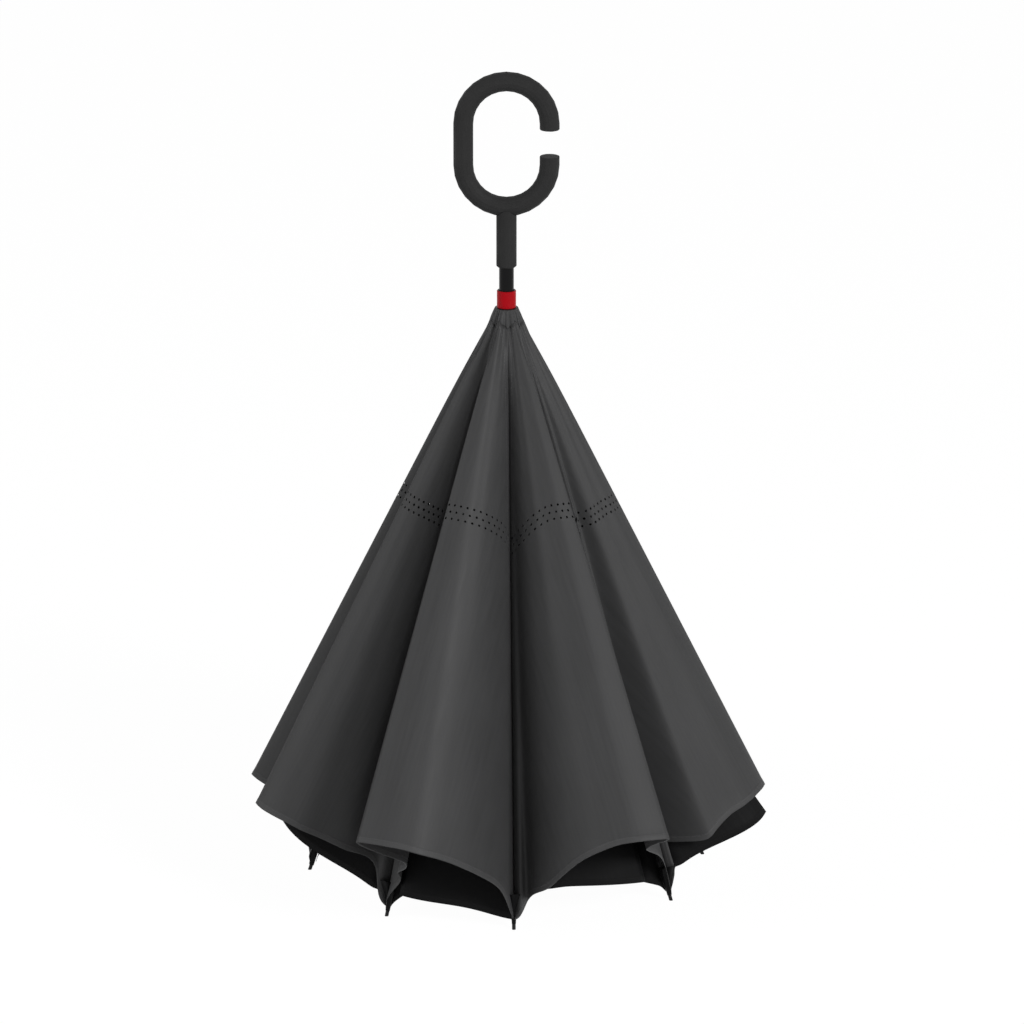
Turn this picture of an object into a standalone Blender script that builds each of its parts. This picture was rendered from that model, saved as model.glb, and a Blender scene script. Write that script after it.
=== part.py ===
"""Inverted umbrella, closed and standing on its rib tips with the handle up.

Metres, +Z up. The shaft is the Z axis and the floor is z = 0. Azimuths are counted
from -Y, which is the front, towards +X, so a ring of copies turns about +Z.
"""

import math

import bmesh
import bpy
from mathutils import Euler, Matrix, Vector

# Fits
CLEARANCE = 0.0003  # between two pieces that touch on the real object
OVERRUN = 0.002  # how far a cutter passes the wall that it cuts
MERGE = 0.00001

# Ribs: a rod from its hinge at the runner down to a cap that stands on the floor
RIB_COUNT = 8
FIRST_RIB_AZIMUTH = math.radians(5)
RIB_TILT = math.radians(18.2)  # from straight down, at rest
RIB_LENGTH = 0.5865
RIB_LEAN = math.radians(1.6)  # the most that a rib leans sideways in its loose hinge
RIB_DIAMETER = 0.0024
HINGE_REACH = 0.0108  # from the shaft's axis to a rib's or a stretcher's hinge
EYE_DIAMETER = 0.0036
EYE_WIDTH = 0.0019
EYE_HOLE = 0.0026
WIRE_DIAMETER = 0.0008
PIVOT_DISTANCE = 0.25  # from a rib's hinge to its stretcher's pivot
RIVET_HOLE = 0.0012
TIP_DIAMETER = 0.0036
TIP_LENGTH = 0.016
TIP_SOCKET = 0.009
TIP_SHOWN = 0.009  # the bare length below the cloth

# Stretchers: from the notch near the floor up to the ribs' pivots
STRETCHER_EXTRA = 0.02  # how much longer a stretcher is than its rib down to their pivot
STRETCHER_DIAMETER = 0.0022
PIVOT_GAP = 0.0009  # beside its rib, which leaves room for the rib's lean

# Shaft
SHAFT_DIAMETER = 0.0142
SHAFT_WALL = 0.0008
SHAFT_IN_STEM = 0.0286
SHAFT_BELOW_NOTCH = 0.0175

# Runner
SLEEVE_WALL = 0.0010
HUB_DIAMETER = 0.0222
HUB_ABOVE_HINGE = 0.0045
HUB_BELOW_HINGE = 0.0062
SLEEVE_BELOW_HINGE = 0.018
SLOT_HEADROOM = 0.0025
WIRE_GROOVE = 0.0016
COLLAR_DIAMETER = 0.0184
COLLAR_LENGTH = 0.0170
COLLAR_EDGE = 0.0006
LINING_RING_DIAMETER = 0.0214
LINING_RING_HEIGHT = 0.0019

# Runner's travel to the open pose, and the catch that holds it there
OPEN_RIB_TILT = math.radians(100)  # from straight down, when the canopy is spread
CATCH_WIDTH = 0.002
CATCH_HEIGHT = 0.008
CATCH_PROUD = 0.0024
CATCH_DEPTH = 0.0055
CATCH_LIP = 0.0016

# Cap and washer under the notch
WASHER_THICKNESS = 0.001
WASHER_DIAMETER = 0.022
CAP_DIAMETER = 0.024
CAP_HEIGHT = 0.020

# Handle: a C-shaped loop on a stem
HANDLE_TUBE_DIAMETER = 0.019
HANDLE_BEND_RADIUS = 0.0412
HANDLE_STRAIGHT = 0.0404
HANDLE_LOW_END = 0.0085  # straight end above the lower bend
HANDLE_HIGH_END = 0.0059  # straight end below the upper bend
HANDLE_END_ROUNDING = 0.0035
STEM_DIAMETER = 0.0195
BARE_SHAFT = 0.0232  # between the collar and the stem
STEM_LENGTH = 0.0594  # up to the loop's centre line
STEM_SADDLE_DROP = 0.003  # the saddle's rim below the loop's centre line
STEM_EDGE = 0.0012
STUD_DIAMETER = 0.005
STUD_REACH = 0.0035  # above the loop's centre line
PIN_DIAMETER = 0.003
PIN_LENGTH = 0.017
PIN_UP = 0.0133  # above the stem's lower end

# Cloth
CLOTH_THICKNESS = 0.0005
CLOTH_EDGE = 0.0006  # half the seam between two pieces of lining
LINING_STANDOFF = 0.00245  # from a rib's axis out to the lining
LINING_START = 0.012  # down the rib from its hinge, where the neck ends
NECK_RADIUS = 0.0113
RIDGE_REACH = 0.298  # from the shaft's axis to the furthest hem corner
RIDGE_HEIGHT = 0.1135
CANOPY_STANDOFF = 0.0030
CANOPY_FOLD_HEIGHT = 0.296
CANOPY_INNER_EDGE = 0.0088
CANOPY_SHOULDER = 0.0142
CANOPY_REACH = 0.262
CANOPY_HEIGHT = 0.075

# How far each rib leans sideways at rest, as a share of RIB_LEAN
RIB_LEAN_SHARES = (-0.6, 1.0, 0.3, -0.4, 0.3, -0.3, 0.4, 0.75)
# For each panel, from the rib on its left to the rib on its right as seen from outside:
# where its ridge lies between them, how far out and how high.
LINING_RIDGE_SHARES = (
    (0.58, 1.00, 1.00),
    (0.45, 0.89, 0.98),
    (0.47, 0.93, 0.84),
    (0.40, 0.92, 0.88),
    (0.42, 0.93, 0.93),
    (0.49, 0.89, 0.55),
    (0.51, 0.915, 0.925),
    (0.25, 0.99, 0.98),
)
# How the left and the right half of each panel hang: 1 bellied out or 0 straight from ridge
# to rib, how much the hem jumps up beside the rib and within what share of the half's width,
# and the depths of the groove beside the rib and of the S-shaped fold.
LINING_HANG_SHARES = (
    ((1, 0.48, 0.15, 1.00, 0.00), (0, 0.30, 0.10, 0.20, 0.80)),
    ((1, 0.50, 0.07, 1.50, 1.00), (0, 0.35, 0.10, 0.20, 1.10)),
    ((0, 0.35, 0.10, 0.20, 1.10), (1, 0.40, 0.08, 0.80, 0.30)),
    ((0, 0.40, 0.08, 0.20, 1.20), (1, 0.40, 0.08, 0.50, 0.30)),
    ((1, 0.40, 0.08, 1.00, 1.00), (0, 0.40, 0.08, 0.20, 1.10)),
    ((0, 0.35, 0.08, 0.20, 1.20), (1, 0.40, 0.08, 0.90, 0.30)),
    ((0, 0.35, 0.08, 0.20, 1.10), (1, 0.50, 0.06, 0.70, 0.00)),
    ((0, 0.25, 0.10, 0.20, 1.10), (1, 0.52, 0.05, 0.00, 0.00)),
)
CANOPY_RIDGE_SHARES = (
    (0.52, 0.74, 0.47),
    (0.45, 1.01, 1.10),
    (0.47, 1.00, 0.93),
    (0.45, 0.96, 0.90),
    (0.46, 0.97, 0.95),
    (0.49, 1.00, 0.80),
    (0.51, 0.98, 1.00),
    (0.45, 0.715, 0.22),
)
GROOVE_DEPTH = 0.02
FOLD_DEPTH = 0.02
GROOVE_WIDTH_SHARE = 0.26
FULL_LIFT_SHARE = 0.2  # how far down the hem's jump beside the rib has grown to its full height
LINING_DOWN_SHARES = (0, 0.05, 0.13, 0.25, 0.4, 0.56, 0.72, 0.87, 1)
LINING_ACROSS_SHARES = (0, 0.05, 0.11, 0.18, 0.27, 0.4, 0.58, 0.8, 1)
CANOPY_INNER_SHARES = (0.12, 0.35, 0.65, 1)
CANOPY_FOLD_STEPS = 3
CANOPY_OUTER_SHARES = (0, 0.2, 0.4, 0.6, 0.8, 1)
CANOPY_ACROSS_SHARES = (0, 0.12, 0.3, 0.65, 1)
LINING_BULGE_POWER = 0.9  # how soon the lining leaves a rib
CANOPY_BULGE_POWER = 2.6  # the same for the canopy
CANOPY_LIFT_SHARES = (
    (0.75, 0.20),
    (0.30, 0.30),
    (0.30, 0.30),
    (0.30, 0.30),
    (0.30, 0.30),
    (0.30, 0.30),
    (0.30, 0.25),
    (0.45, 0.10),
)
CANOPY_LIFT_WIDTH_SHARE = 0.10

# How finely round things are made
ROUND_SIDES = 24
COLLAR_SIDES = 32
ROD_SIDES = 8
EYE_SIDES = 12
RING_SIDES = 32
WIRE_SIDES = 5
SADDLE_RING_SIDES = 56
SADDLE_TUBE_SIDES = 24
HANDLE_BEND_STEPS = 14
HANDLE_BEVEL_STEPS = 6
HANDLE_ROUNDING_STEPS = 3
CAP_DOME_ANGLES = (0, 0.4, 0.8, 1.2)
NECK_HALF_COUNT = 2
NECK_STEPS = 2

# Worked out from the sizes above
PITCH = math.tau / RIB_COUNT
STRETCHER_LENGTH = PIVOT_DISTANCE + STRETCHER_EXTRA
HINGE_Z = RIB_LENGTH * math.cos(RIB_TILT)
PIVOT_REACH = PIVOT_DISTANCE * math.sin(RIB_TILT)
NOTCH_DROP = PIVOT_DISTANCE * math.cos(RIB_TILT) + math.sqrt(
    STRETCHER_LENGTH**2 - PIVOT_REACH**2
)
NOTCH_Z = HINGE_Z - NOTCH_DROP
OPEN_PIVOT_REACH = PIVOT_DISTANCE * math.sin(OPEN_RIB_TILT)
OPEN_NOTCH_DROP = PIVOT_DISTANCE * math.cos(OPEN_RIB_TILT) + math.sqrt(
    STRETCHER_LENGTH**2 - OPEN_PIVOT_REACH**2
)
RUNNER_TRAVEL = NOTCH_DROP - OPEN_NOTCH_DROP
STRETCHER_TILT = math.asin(PIVOT_REACH / STRETCHER_LENGTH)  # from straight up
STRETCHER_SIDE_STEP = RIB_DIAMETER / 2 + PIVOT_GAP + STRETCHER_DIAMETER / 2
SHAFT_RADIUS = SHAFT_DIAMETER / 2
SHAFT_BORE = SHAFT_RADIUS - SHAFT_WALL
SHAFT_BOTTOM = NOTCH_Z - SHAFT_BELOW_NOTCH
SLIDE_RADIUS = SHAFT_RADIUS + CLEARANCE
SLEEVE_RADIUS = SLIDE_RADIUS + SLEEVE_WALL
HUB_TOP = HINGE_Z + HUB_ABOVE_HINGE
RING_TOP = HUB_TOP + CLEARANCE + LINING_RING_HEIGHT
COLLAR_BOTTOM = RING_TOP + CLEARANCE
COLLAR_TOP = COLLAR_BOTTOM + COLLAR_LENGTH
SLOT_WIDTH = RIB_DIAMETER + 2 * CLEARANCE
NOTCH_BOTTOM = NOTCH_Z - HUB_ABOVE_HINGE
CANOPY_FLOOR = NOTCH_BOTTOM - CLEARANCE - CLOTH_THICKNESS / 2
WASHER_TOP = CANOPY_FLOOR - CLOTH_THICKNESS / 2 - CLEARANCE
CAP_TOP = WASHER_TOP - WASHER_THICKNESS - CLEARANCE
STEM_BOTTOM = COLLAR_TOP + BARE_SHAFT
SHAFT_TOP = STEM_BOTTOM + SHAFT_IN_STEM
PIN_HEIGHT = STEM_BOTTOM + PIN_UP
LOOP_BOTTOM_LINE = STEM_BOTTOM + STEM_LENGTH
HANDLE_LOWER_CENTRE = LOOP_BOTTOM_LINE + HANDLE_BEND_RADIUS
HANDLE_UPPER_CENTRE = HANDLE_LOWER_CENTRE + HANDLE_STRAIGHT
HEM_DISTANCE = RIB_LENGTH - TIP_SHOWN
CANOPY_FOLD_DISTANCE = (HINGE_Z - CANOPY_FOLD_HEIGHT) / math.cos(RIB_TILT)
CATCH_AZIMUTH = FIRST_RIB_AZIMUTH + PITCH / 2
CATCH_Z = COLLAR_TOP - RUNNER_TRAVEL + CLEARANCE


def clear_scene():
    for obj in list(bpy.data.objects):
        bpy.data.objects.remove(obj)


def new_collection(name, hidden=False):
    collection = bpy.data.collections.new(name)
    bpy.context.scene.collection.children.link(collection)
    collection.hide_render = hidden
    return collection


clear_scene()
PARTS = new_collection("inverted_umbrella")
CUTTERS = new_collection("cutters", hidden=True)


def material(name, colour, roughness, metallic=0.0):
    made = bpy.data.materials.new(name)
    made.use_nodes = True
    shader = made.node_tree.nodes["Principled BSDF"]
    shader.inputs["Base Color"].default_value = (*colour, 1)
    shader.inputs["Roughness"].default_value = roughness
    shader.inputs["Metallic"].default_value = metallic
    return made


GRIP = material("grip_rubber", (0.028, 0.028, 0.028), 0.75)
LACQUER = material("black_lacquer", (0.008, 0.008, 0.009), 0.18, 0.3)
RED = material("red_collar", (0.46, 0.0, 0.004), 0.3)
NYLON = material("black_nylon", (0.012, 0.012, 0.013), 0.5)
STEEL = material("spring_steel", (0.45, 0.45, 0.46), 0.3, 1.0)
FIBREGLASS = material("fibreglass", (0.02, 0.02, 0.022), 0.35)
LINING = material("grey_lining", (0.07, 0.07, 0.07), 0.6)
CANOPY = material("black_canopy", (0.006, 0.006, 0.006), 0.65)


def add(name, mesh, finish, place=(0, 0, 0), turn=(0, 0, 0), parent=None):
    """A named object in the part's collection, placed in the world and then parented."""
    obj = bpy.data.objects.new(name, mesh)
    PARTS.objects.link(obj)
    if not mesh.materials:
        mesh.materials.append(finish)
    mesh.shade_smooth()
    mesh.set_sharp_from_angle(angle=math.radians(40))
    obj.location = place
    if isinstance(turn, Euler):
        obj.rotation_mode = turn.order
    obj.rotation_euler = turn
    if parent:
        bpy.context.view_layer.update()
        obj.parent = parent
        obj.matrix_parent_inverse = parent.matrix_world.inverted()
    return obj


def add_empty(name, place, turn=(0, 0, 0), parent=None):
    empty = bpy.data.objects.new(name, None)
    PARTS.objects.link(empty)
    empty.location = place
    empty.rotation_euler = turn
    if parent:
        bpy.context.view_layer.update()
        empty.parent = parent
        empty.matrix_parent_inverse = parent.matrix_world.inverted()
    return empty


def turned(name, profile, finish, parent=None, closed=True, sides=ROUND_SIDES):
    """A turned piece from (radius, z) points that run down its outer side."""
    mesh = bpy.data.meshes.new(name)
    last = len(profile) if closed else len(profile) - 1
    edges = [(i, (i + 1) % len(profile)) for i in range(last)]
    mesh.from_pydata([(radius, 0, z) for radius, z in profile], edges, [])
    obj = add(name, mesh, finish, parent=parent)
    screw = obj.modifiers.new("Screw", "SCREW")
    screw.steps = screw.render_steps = sides
    screw.use_merge_vertices = True
    screw.merge_threshold = MERGE
    return obj


def rod(start, end, radius, sides=ROD_SIDES):
    """A closed cylinder between two points, as a bmesh."""
    start, end = Vector(start), Vector(end)
    along = end - start
    turn = along.to_track_quat("Z", "Y").to_matrix().to_4x4()
    place = Matrix.Translation((start + end) / 2) @ turn
    shape = bmesh.new()
    bmesh.ops.create_cone(
        shape,
        cap_ends=True,
        segments=sides,
        radius1=radius,
        radius2=radius,
        depth=along.length,
        matrix=place,
    )
    return shape


def block(low, high):
    """A box between two corners, as a bmesh."""
    low, high = Vector(low), Vector(high)
    shape = bmesh.new()
    bmesh.ops.create_cube(shape, size=1)
    bmesh.ops.scale(shape, vec=high - low, verts=shape.verts)
    bmesh.ops.translate(shape, vec=(low + high) / 2, verts=shape.verts)
    return shape


def helper(name, shape):
    """A bmesh as a hidden object that a Boolean joins or cuts with."""
    mesh = bpy.data.meshes.new(name)
    shape.to_mesh(mesh)
    shape.free()
    obj = bpy.data.objects.new(name, mesh)
    CUTTERS.objects.link(obj)
    obj.hide_render = True
    obj.display_type = "WIRE"
    return obj


def boolean(obj, other, operation="DIFFERENCE"):
    modifier = obj.modifiers.new(other.name, "BOOLEAN")
    modifier.operation = operation
    modifier.solver = "EXACT"
    modifier.object = other


def solid(name, base, joined=(), cuts=()):
    """The finished mesh of a base shape with others joined to it and cut from it."""
    body = helper(name, base)
    others = []
    for operation, shapes in (("UNION", joined), ("DIFFERENCE", cuts)):
        for shape in shapes:
            others.append(helper(f"{name}_{operation.lower()}", shape))
            boolean(body, others[-1], operation)
    bpy.context.view_layer.update()
    graph = bpy.context.evaluated_depsgraph_get()
    made = bpy.data.meshes.new_from_object(body.evaluated_get(graph))
    for used in (body, *others):
        bpy.data.objects.remove(used)
    return made


def outward(azimuth):
    return Vector((math.sin(azimuth), -math.cos(azimuth), 0))


def sideways(azimuth):
    return Vector((math.cos(azimuth), math.sin(azimuth), 0))


def rib_azimuth(number):
    return FIRST_RIB_AZIMUTH + PITCH * number


def rib_lean(number):
    return RIB_LEAN * RIB_LEAN_SHARES[number % RIB_COUNT]


def stretcher_lean(number):
    """The lean that keeps a stretcher beside its rib at their pivot."""
    return math.asin(PIVOT_DISTANCE * math.sin(rib_lean(number)) / STRETCHER_LENGTH)


def rib_hinge(number):
    return outward(rib_azimuth(number)) * HINGE_REACH + Vector((0, 0, HINGE_Z))


def rib_turn(number):
    """A rib's turn from straight down: lean about Y, then tilt about X, then azimuth about Z."""
    return Euler((-RIB_TILT, -rib_lean(number), rib_azimuth(number)), "YXZ")


def rib_matrix(number):
    return Matrix.Translation(rib_hinge(number)) @ rib_turn(number).to_matrix().to_4x4()


def slot_cutter(name, low, high, side_step):
    """Radial slots for the rods of one hub, as one cutter."""
    slots = bmesh.new()
    for number in range(RIB_COUNT):
        slot = block(
            (side_step - SLOT_WIDTH / 2, -HUB_DIAMETER, low),
            (side_step + SLOT_WIDTH / 2, -SLEEVE_RADIUS, high),
        )
        turn = Matrix.Rotation(rib_azimuth(number), 3, "Z")
        bmesh.ops.rotate(slot, cent=(0, 0, 0), matrix=turn, verts=slot.verts)
        part = bpy.data.meshes.new(name)
        slot.to_mesh(part)
        slot.free()
        slots.from_mesh(part)
        bpy.data.meshes.remove(part)
    return helper(name, slots)


def make_handle(body):
    """The C-shaped loop, the stem under it, and the stud and pin that hold them."""
    r, low, high = HANDLE_BEND_RADIUS, HANDLE_LOWER_CENTRE, HANDLE_UPPER_CENTRE
    angles = [math.pi * i / HANDLE_BEND_STEPS for i in range(HANDLE_BEND_STEPS + 1)]
    route = [(r, low + HANDLE_LOW_END)]
    route += [(r * math.cos(a), low - r * math.sin(a)) for a in angles]
    route += [(-r * math.cos(a), high + r * math.sin(a)) for a in angles]
    route += [(r, high - HANDLE_HIGH_END)]
    curve = bpy.data.curves.new("handle_loop", "CURVE")
    curve.dimensions = "3D"
    curve.bevel_depth = HANDLE_TUBE_DIAMETER / 2
    curve.bevel_resolution = HANDLE_BEVEL_STEPS
    curve.use_fill_caps = True
    spline = curve.splines.new("POLY")
    spline.points.add(len(route) - 1)
    for point, (x, z) in zip(spline.points, route):
        point.co = (x, 0, z, 1)
    path = bpy.data.objects.new("handle_path", curve)
    CUTTERS.objects.link(path)
    bpy.context.view_layer.update()
    graph = bpy.context.evaluated_depsgraph_get()
    tube = bpy.data.meshes.new_from_object(path.evaluated_get(graph))
    bpy.data.objects.remove(path)
    shape = bmesh.new()
    shape.from_mesh(tube)
    bmesh.ops.remove_doubles(shape, verts=shape.verts, dist=MERGE)
    shape.to_mesh(tube)
    shape.free()
    loop = add("handle_loop", tube, GRIP, parent=body)
    rounding = loop.modifiers.new("Bevel", "BEVEL")
    rounding.width = HANDLE_END_ROUNDING
    rounding.segments = HANDLE_ROUNDING_STEPS
    rounding.limit_method = "ANGLE"
    rounding.angle_limit = math.radians(60)

    stud_bottom = SHAFT_TOP + 2 * CLEARANCE
    stud_top = LOOP_BOTTOM_LINE + STUD_REACH
    stud_hole = STUD_DIAMETER / 2 + CLEARANCE
    bore = rod((0, 0, STEM_BOTTOM), (0, 0, stud_top + CLEARANCE), stud_hole, EYE_SIDES)
    boolean(loop, helper("stud_hole", bore))
    stud = solid("handle_stud", rod((0, 0, stud_bottom), (0, 0, stud_top), STUD_DIAMETER / 2, EYE_SIDES))
    add("handle_stud", stud, STEEL, parent=body)

    rim = LOOP_BOTTOM_LINE - STEM_SADDLE_DROP
    outer = STEM_DIAMETER / 2
    stem = turned(
        "handle_stem",
        [
            (outer, rim),
            (outer, STEM_BOTTOM + STEM_EDGE),
            (outer - STEM_EDGE, STEM_BOTTOM),
            (SLIDE_RADIUS, STEM_BOTTOM),
            (SLIDE_RADIUS, SHAFT_TOP + CLEARANCE),
            (stud_hole, SHAFT_TOP + CLEARANCE),
            (stud_hole, rim),
        ],
        GRIP,
        body,
    )
    bpy.ops.mesh.primitive_torus_add(
        major_radius=HANDLE_BEND_RADIUS,
        minor_radius=HANDLE_TUBE_DIAMETER / 2 + CLEARANCE,
        major_segments=SADDLE_RING_SIDES,
        minor_segments=SADDLE_TUBE_SIDES,
        location=(0, 0, HANDLE_LOWER_CENTRE),
        rotation=(math.pi / 2, 0, 0),
    )
    saddle = bpy.context.object
    saddle.name = "saddle_cutter"
    for collection in list(saddle.users_collection):
        collection.objects.unlink(saddle)
    CUTTERS.objects.link(saddle)
    saddle.hide_render = True
    saddle.display_type = "WIRE"
    boolean(stem, saddle)

    half = PIN_LENGTH / 2
    pin = rod((0, -half, PIN_HEIGHT), (0, half, PIN_HEIGHT), PIN_DIAMETER / 2, EYE_SIDES)
    add("handle_pin", solid("handle_pin", pin), STEEL, parent=body)
    reach = half + CLEARANCE
    hole_radius = PIN_DIAMETER / 2 + CLEARANCE
    hole = helper("pin_hole", rod((0, -reach, PIN_HEIGHT), (0, reach, PIN_HEIGHT), hole_radius, EYE_SIDES))
    boolean(stem, hole)
    return hole


def make_shaft(body, pin_hole):
    shaft = turned(
        "shaft_tube",
        [
            (SHAFT_RADIUS, SHAFT_TOP),
            (SHAFT_RADIUS, SHAFT_BOTTOM),
            (SHAFT_BORE, SHAFT_BOTTOM),
            (SHAFT_BORE, SHAFT_TOP),
        ],
        LACQUER,
        body,
    )
    boolean(shaft, pin_hole)
    window = block(
        (-CATCH_WIDTH / 2 - CLEARANCE, -SHAFT_RADIUS - OVERRUN, CATCH_Z - CLEARANCE),
        (CATCH_WIDTH / 2 + CLEARANCE, 0, CATCH_Z + CATCH_HEIGHT + CLEARANCE),
    )
    window = helper("catch_window", window)
    window.rotation_euler.z = CATCH_AZIMUTH
    boolean(shaft, window)


def make_catch(body):
    """The sprung wedge that holds the runner at the open pose."""
    face = SHAFT_RADIUS + CATCH_PROUD
    back = face - CATCH_DEPTH
    outline = [
        (face, 0),
        (face, CATCH_LIP),
        (back + CATCH_LIP, CATCH_HEIGHT),
        (back, CATCH_HEIGHT),
        (back, 0),
    ]
    shape = bmesh.new()
    corners = [shape.verts.new((-CATCH_WIDTH / 2, -reach, height)) for reach, height in outline]
    side = shape.faces.new(corners)
    grown = bmesh.ops.extrude_face_region(shape, geom=[side])["geom"]
    moved = [item for item in grown if isinstance(item, bmesh.types.BMVert)]
    bmesh.ops.translate(shape, vec=(CATCH_WIDTH, 0, 0), verts=moved)
    bmesh.ops.recalc_face_normals(shape, faces=shape.faces)
    mesh = bpy.data.meshes.new("open_catch")
    shape.to_mesh(mesh)
    shape.free()
    add("open_catch", mesh, STEEL, (0, 0, CATCH_Z), (0, 0, CATCH_AZIMUTH), body)


def wire_ring(name, height, parent):
    bpy.ops.mesh.primitive_torus_add(
        major_radius=HINGE_REACH,
        minor_radius=WIRE_DIAMETER / 2,
        major_segments=RING_SIDES,
        minor_segments=WIRE_SIDES,
        location=(0, 0, height),
    )
    made = bpy.context.object
    mesh = made.data
    bpy.data.objects.remove(made)
    add(name, mesh, STEEL, (0, 0, height), parent=parent)


def make_runner(runner):
    """The sleeve and hub that slide on the shaft, with the collar and the lining's ring."""
    hub = HUB_DIAMETER / 2
    groove = HINGE_REACH - WIRE_GROOVE / 2
    hub_bottom = HINGE_Z - HUB_BELOW_HINGE
    sleeve = turned(
        "runner_sleeve",
        [
            (SLEEVE_RADIUS, COLLAR_TOP),
            (SLEEVE_RADIUS, HUB_TOP),
            (hub, HUB_TOP),
            (hub, HINGE_Z + WIRE_GROOVE / 2),
            (groove, HINGE_Z + WIRE_GROOVE / 2),
            (groove, HINGE_Z - WIRE_GROOVE / 2),
            (hub, HINGE_Z - WIRE_GROOVE / 2),
            (hub, hub_bottom),
            (SLEEVE_RADIUS, hub_bottom),
            (SLEEVE_RADIUS, HINGE_Z - SLEEVE_BELOW_HINGE),
            (SLIDE_RADIUS, HINGE_Z - SLEEVE_BELOW_HINGE),
            (SLIDE_RADIUS, COLLAR_TOP),
        ],
        NYLON,
        runner,
    )
    boolean(sleeve, slot_cutter("rib_slots", hub_bottom - OVERRUN, HINGE_Z + SLOT_HEADROOM, 0))
    wire_ring("runner_wire", HINGE_Z, runner)
    bore = SLEEVE_RADIUS + CLEARANCE
    ring = LINING_RING_DIAMETER / 2
    turned(
        "lining_ring",
        [(ring, RING_TOP), (ring, HUB_TOP + CLEARANCE), (bore, HUB_TOP + CLEARANCE), (bore, RING_TOP)],
        NYLON,
        runner,
    )
    outer = COLLAR_DIAMETER / 2
    turned(
        "runner_collar",
        [
            (outer - COLLAR_EDGE, COLLAR_TOP),
            (outer, COLLAR_TOP - COLLAR_EDGE),
            (outer, COLLAR_BOTTOM + COLLAR_EDGE),
            (outer - COLLAR_EDGE, COLLAR_BOTTOM),
            (bore, COLLAR_BOTTOM),
            (bore, COLLAR_TOP),
        ],
        RED,
        runner,
        sides=COLLAR_SIDES,
    )


def make_notch(body):
    """The fixed hub at the shaft's far end, with the washer and the cap that hold the canopy."""
    hub = HUB_DIAMETER / 2
    groove = HINGE_REACH - WIRE_GROOVE / 2
    top = NOTCH_Z + HUB_BELOW_HINGE
    notch = turned(
        "top_notch",
        [
            (hub, top),
            (hub, NOTCH_Z + WIRE_GROOVE / 2),
            (groove, NOTCH_Z + WIRE_GROOVE / 2),
            (groove, NOTCH_Z - WIRE_GROOVE / 2),
            (hub, NOTCH_Z - WIRE_GROOVE / 2),
            (hub, NOTCH_BOTTOM),
            (SLIDE_RADIUS, NOTCH_BOTTOM),
            (SLIDE_RADIUS, top),
        ],
        NYLON,
        body,
    )
    slots = slot_cutter("stretcher_slots", NOTCH_Z - SLOT_HEADROOM, top + OVERRUN, STRETCHER_SIDE_STEP)
    boolean(notch, slots)
    wire_ring("notch_wire", NOTCH_Z, body)
    washer = WASHER_DIAMETER / 2
    turned(
        "canopy_washer",
        [
            (washer, WASHER_TOP),
            (washer, WASHER_TOP - WASHER_THICKNESS),
            (SLIDE_RADIUS, WASHER_TOP - WASHER_THICKNESS),
            (SLIDE_RADIUS, WASHER_TOP),
        ],
        NYLON,
        body,
    )
    cap = CAP_DIAMETER / 2
    dome = [(cap * math.cos(a), CAP_TOP - CAP_HEIGHT / 2 * (1 + math.sin(a))) for a in CAP_DOME_ANGLES]
    turned(
        "top_cap",
        [
            (0, SHAFT_BOTTOM - CLEARANCE),
            (SLIDE_RADIUS, SHAFT_BOTTOM - CLEARANCE),
            (SLIDE_RADIUS, CAP_TOP),
            (cap, CAP_TOP),
            *dome,
            (0, CAP_TOP - CAP_HEIGHT),
        ],
        NYLON,
        body,
        closed=False,
    )


def eye(height):
    """The flat ring at a rod's end, across the hinge's axis."""
    return rod((-EYE_WIDTH / 2, 0, height), (EYE_WIDTH / 2, 0, height), EYE_DIAMETER / 2, EYE_SIDES)


def eye_hole(height, diameter):
    reach = EYE_WIDTH / 2 + OVERRUN
    return rod((-reach, 0, height), (reach, 0, height), diameter / 2, ROD_SIDES)


def rib_mesh():
    """A rib, straight down from the hinge at the mesh's origin."""
    end = RIB_LENGTH - TIP_LENGTH + TIP_SOCKET
    start = EYE_DIAMETER / 2 - (EYE_DIAMETER - EYE_HOLE) / 4
    return solid(
        "rib",
        rod((0, 0, -start), (0, 0, -end), RIB_DIAMETER / 2),
        [eye(0), eye(-PIVOT_DISTANCE)],
        [eye_hole(0, EYE_HOLE)],
    )


def tip_mesh(number):
    """The cap on a rib's end, in the rib's own frame, cut flat where it meets the floor."""
    top = RIB_LENGTH - TIP_LENGTH
    tip = rod((0, 0, -top), (0, 0, -RIB_LENGTH - TIP_DIAMETER), TIP_DIAMETER / 2, EYE_SIDES)
    world = rib_matrix(number)
    floor = world.inverted() @ Vector((0, 0, 0))
    down = world.to_3x3().inverted() @ Vector((0, 0, -1))
    bmesh.ops.bisect_plane(
        tip, geom=[*tip.verts, *tip.edges, *tip.faces], plane_co=floor, plane_no=down, clear_outer=True
    )
    bmesh.ops.holes_fill(tip, edges=[edge for edge in tip.edges if edge.is_boundary])
    bmesh.ops.recalc_face_normals(tip, faces=tip.faces)
    floor_of_socket = top + TIP_SOCKET + CLEARANCE
    socket = rod((0, 0, OVERRUN - top), (0, 0, -floor_of_socket), RIB_DIAMETER / 2 + CLEARANCE, EYE_SIDES)
    return solid("rib_tip", tip, cuts=[socket])


def stretcher_mesh():
    """A stretcher, straight up from the hinge at the mesh's origin."""
    start = EYE_DIAMETER / 2 - (EYE_DIAMETER - EYE_HOLE) / 4
    return solid(
        "stretcher",
        rod((0, 0, start), (0, 0, STRETCHER_LENGTH), STRETCHER_DIAMETER / 2),
        [eye(0), eye(STRETCHER_LENGTH)],
        [eye_hole(0, EYE_HOLE), eye_hole(STRETCHER_LENGTH, RIVET_HOLE)],
    )


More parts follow.
